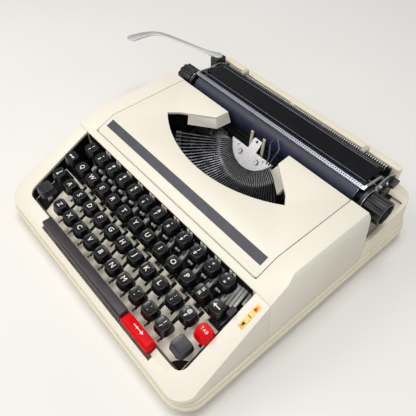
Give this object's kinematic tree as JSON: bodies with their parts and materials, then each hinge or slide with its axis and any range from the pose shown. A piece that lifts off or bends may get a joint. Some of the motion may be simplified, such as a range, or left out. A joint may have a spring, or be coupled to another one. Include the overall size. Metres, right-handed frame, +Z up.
{
  "type": "portable manual typewriter",
  "caption": "Portable manual typewriter in a cream plastic case: hinged ribbon cover, type basket, sloping keyboard, sliding carriage with platen, bail and return lever.",
  "frame": {"origin": "on the table under the middle of the case's footprint", "axes": "+X to the typist's right, +Y from the keyboard to the rear, +Z up"},
  "size_m": [0.3853, 0.313, 0.0953],
  "materials": {
    "cream_plastic": "cream injection-moulded case, fine satin grain",
    "cream_case": "cream tray moulding, slightly yellowed",
    "rubber_black": "black rubber feet",
    "gold_foil": "gold foil sticker, no lettering",
    "frame_paint": "dark grey painted pressed steel",
    "bare_steel": "plain steel with a thin film of oil",
    "mask_cream": "cream key mask",
    "strip_grey": "plain dark grey strip",
    "segment_grey": "dull grey cast segment",
    "plate_silver": "polished steel plate",
    "type_steel": "darkened type bars",
    "vibrator_cream": "cream plastic fork",
    "ribbon_black": "inked fabric ribbon",
    "spool_black": "black plastic spools",
    "key_black": "black key caps with white legends",
    "bar_brown": "dark brown-grey space bar",
    "key_red": "bright red plastic",
    "carriage_paint": "black painted steel",
    "platen_rubber": "dark blue-grey hard rubber",
    "knob_black": "ribbed black plastic",
    "table_black": "smooth gloss black paper table",
    "chrome": "bright chrome plate",
    "scale_black": "dark rail with white ticks",
    "stop_clear": "milky translucent plastic"
  },
  "bodies": {
    "base": {"base_shell": "cream_case", "rubber_feet": "rubber_black", "keyboard_surround": "cream_plastic", "main_housing": "cream_plastic", "selector_decal": "gold_foil", "chassis": "frame_paint", "fulcrum_rod": "bare_steel", "key_mask": "mask_cream", "rail_bearings": "frame_paint", "cover_hinge_pins": "bare_steel", "ribbon": "ribbon_black"},
    "cover": {"ribbon_cover": "cream_plastic", "label_strip": "strip_grey"},
    "basket": {"segment": "segment_grey", "segment_wire": "bare_steel", "segment_plate": "plate_silver", "segment_screws": "bare_steel", "typebars": "type_steel"},
    "typebar_h": {"typebar_h": "type_steel"},
    "vibrator": {"ribbon_vibrator": "vibrator_cream"},
    "spool_left": {"spool_left": "spool_black"},
    "spool_right": {"spool_right": "spool_black"},
    "key_row1": {"keytops_row1": "key_black", "keylevers_row1": "bare_steel"},
    "key_row2": {"keytops_row2": "key_black", "keylevers_row2": "bare_steel"},
    "key_row3": {"keytops_row3": "key_black", "keylevers_row3": "bare_steel"},
    "key_row4": {"keytops_row4": "key_black", "keylevers_row4": "bare_steel"},
    "key_h": {"keytop_h": "key_black", "keylever_h": "bare_steel"},
    "shift": {"shift_keytops": "key_black", "shift_frame": "bare_steel"},
    "shift_lock": {"shift_lock_top": "key_black", "shift_lock_lever": "bare_steel"},
    "margin_key": {"margin_key_top": "key_black", "margin_key_lever": "bare_steel"},
    "backspace": {"backspace_top": "key_black", "backspace_lever": "bare_steel"},
    "tab_bar": {"tab_bar_top": "key_red", "tab_bar_lever": "bare_steel"},
    "space_bar": {"space_bar_top": "bar_brown", "space_bar_levers": "bare_steel"},
    "red_key": {"red_key_top": "key_red", "red_key_lever": "bare_steel"},
    "selector": {"ribbon_selector": "frame_paint"},
    "carriage": {"carriage_frame": "carriage_paint", "carriage_rods": "bare_steel", "paper_deflector": "carriage_paint", "paper_table": "table_black", "margin_rail": "scale_black"},
    "platen": {"platen": "platen_rubber", "platen_knobs": "knob_black"},
    "bail": {"paper_bail": "chrome"},
    "margin_left": {"margin_stop_left": "stop_clear"},
    "margin_right": {"margin_stop_right": "stop_clear"},
    "return_lever": {"return_lever": "chrome"},
    "release_lever": {"release_lever": "carriage_paint"}
  },
  "joints": [
    {"name": "cover_hinge", "type": "hinge", "parent": "base", "child": "cover", "pos_m": [0, -0.0476, 0.07786], "axis": [1, 0, 0], "range_deg": [0, 95]},
    {"name": "basket_shift", "type": "slide", "parent": "base", "child": "basket", "axis": [0, 0, 1], "range_m": [-0.005, 0], "stiffness_N_per_m": 300, "springref_m": 0.02},
    {"name": "typebar_swing", "type": "hinge", "parent": "basket", "child": "typebar_h", "pos_m": [0.00118, 0.04026, 0.04008], "axis": [-0.9997, -0.0168, -0.0187], "range_deg": [0, 134]},
    {"name": "vibrator_lift", "type": "slide", "parent": "base", "child": "vibrator", "axis": [0, 0, 1], "range_m": [0, 0.006]},
    {"name": "left_spool_turn", "type": "hinge", "parent": "base", "child": "spool_left", "pos_m": [-0.099, 0.046, 0.058], "axis": [0, 0, 1], "continuous": true},
    {"name": "right_spool_turn", "type": "hinge", "parent": "base", "child": "spool_right", "pos_m": [0.099, 0.046, 0.058], "axis": [0, 0, 1], "continuous": true},
    {"name": "number_row", "type": "hinge", "parent": "base", "child": "key_row1", "pos_m": [0, 0.06, 0.014], "axis": [1, 0, 0], "range_deg": [0, 2.86], "stiffness_Nm_per_rad": 0.6, "springref_deg": -20.05},
    {"name": "upper_row", "type": "hinge", "parent": "base", "child": "key_row2", "pos_m": [0, 0.06, 0.014], "axis": [1, 0, 0], "range_deg": [0, 2.86], "stiffness_Nm_per_rad": 0.6, "springref_deg": -20.05},
    {"name": "home_row", "type": "hinge", "parent": "base", "child": "key_row3", "pos_m": [0, 0.06, 0.014], "axis": [1, 0, 0], "range_deg": [0, 2.86], "stiffness_Nm_per_rad": 0.6, "springref_deg": -20.05},
    {"name": "lower_row", "type": "hinge", "parent": "base", "child": "key_row4", "pos_m": [0, 0.06, 0.014], "axis": [1, 0, 0], "range_deg": [0, 2.86], "stiffness_Nm_per_rad": 0.6, "springref_deg": -20.05},
    {"name": "key_h", "type": "hinge", "parent": "base", "child": "key_h", "pos_m": [0, 0.06, 0.014], "axis": [1, 0, 0], "range_deg": [0, 2.86], "stiffness_Nm_per_rad": 0.6, "springref_deg": -20.05},
    {"name": "shift_keys", "type": "hinge", "parent": "base", "child": "shift", "pos_m": [0, 0.06, 0.014], "axis": [1, 0, 0], "range_deg": [0, 2.86], "stiffness_Nm_per_rad": 0.6, "springref_deg": -20.05},
    {"name": "shift_lock_key", "type": "hinge", "parent": "base", "child": "shift_lock", "pos_m": [0, 0.06, 0.014], "axis": [1, 0, 0], "range_deg": [0, 2.86], "stiffness_Nm_per_rad": 0.6, "springref_deg": -20.05},
    {"name": "margin_release_key", "type": "hinge", "parent": "base", "child": "margin_key", "pos_m": [0, 0.06, 0.014], "axis": [1, 0, 0], "range_deg": [0, 2.86], "stiffness_Nm_per_rad": 0.6, "springref_deg": -20.05},
    {"name": "backspace_key", "type": "hinge", "parent": "base", "child": "backspace", "pos_m": [0, 0.06, 0.014], "axis": [1, 0, 0], "range_deg": [0, 2.86], "stiffness_Nm_per_rad": 0.6, "springref_deg": -20.05},
    {"name": "tab_bar_key", "type": "hinge", "parent": "base", "child": "tab_bar", "pos_m": [0, 0.06, 0.014], "axis": [1, 0, 0], "range_deg": [0, 2], "stiffness_Nm_per_rad": 0.6, "springref_deg": -20.05},
    {"name": "space_bar_key", "type": "hinge", "parent": "base", "child": "space_bar", "pos_m": [0, 0.06, 0.014], "axis": [1, 0, 0], "range_deg": [0, 2], "stiffness_Nm_per_rad": 0.6, "springref_deg": -20.05},
    {"name": "red_key_press", "type": "hinge", "parent": "base", "child": "red_key", "pos_m": [0, 0.06, 0.014], "axis": [1, 0, 0], "range_deg": [0, 2.86], "stiffness_Nm_per_rad": 0.6, "springref_deg": -20.05},
    {"name": "ribbon_selector_rock", "type": "hinge", "parent": "base", "child": "selector", "pos_m": [0.1264, -0.038, 0.034], "axis": [1, 0, 0], "range_deg": [-5, 5]},
    {"name": "carriage_slide", "type": "slide", "parent": "base", "child": "carriage", "axis": [1, 0, 0], "range_m": [-0.1, 0.1]},
    {"name": "platen_turn", "type": "hinge", "parent": "carriage", "child": "platen", "pos_m": [0, 0.0893, 0.0765], "axis": [1, 0, 0], "continuous": true},
    {"name": "bail_lift", "type": "hinge", "parent": "carriage", "child": "bail", "pos_m": [0, 0.117, 0.084], "axis": [-1, 0, 0], "range_deg": [0, 70]},
    {"name": "left_margin", "type": "slide", "parent": "carriage", "child": "margin_left", "axis": [1, 0, 0], "range_m": [-0.02, 0.06]},
    {"name": "right_margin", "type": "slide", "parent": "carriage", "child": "margin_right", "axis": [1, 0, 0], "range_m": [-0.06, 0.02]},
    {"name": "return_lever_swing", "type": "hinge", "parent": "carriage", "child": "return_lever", "pos_m": [-0.1255, 0.126, 0.093], "axis": [0, 0, 1], "range_deg": [0, 30], "stiffness_Nm_per_rad": 0.3, "springref_deg": -17.19},
    {"name": "carriage_release", "type": "hinge", "parent": "carriage", "child": "release_lever", "pos_m": [0.129, 0.112, 0.074], "axis": [-1, 0, 0], "range_deg": [0, 18], "stiffness_Nm_per_rad": 0.02, "springref_deg": -28.65}
  ],
  "couplings": [
    {"joint": "typebar_swing", "follows": "key_h", "ratio": 46.755},
    {"joint": "vibrator_lift", "follows": "key_h", "m_per_rad": 0.119},
    {"joint": "basket_shift", "follows": "shift_keys", "m_per_rad": -0.0999}
  ]
}
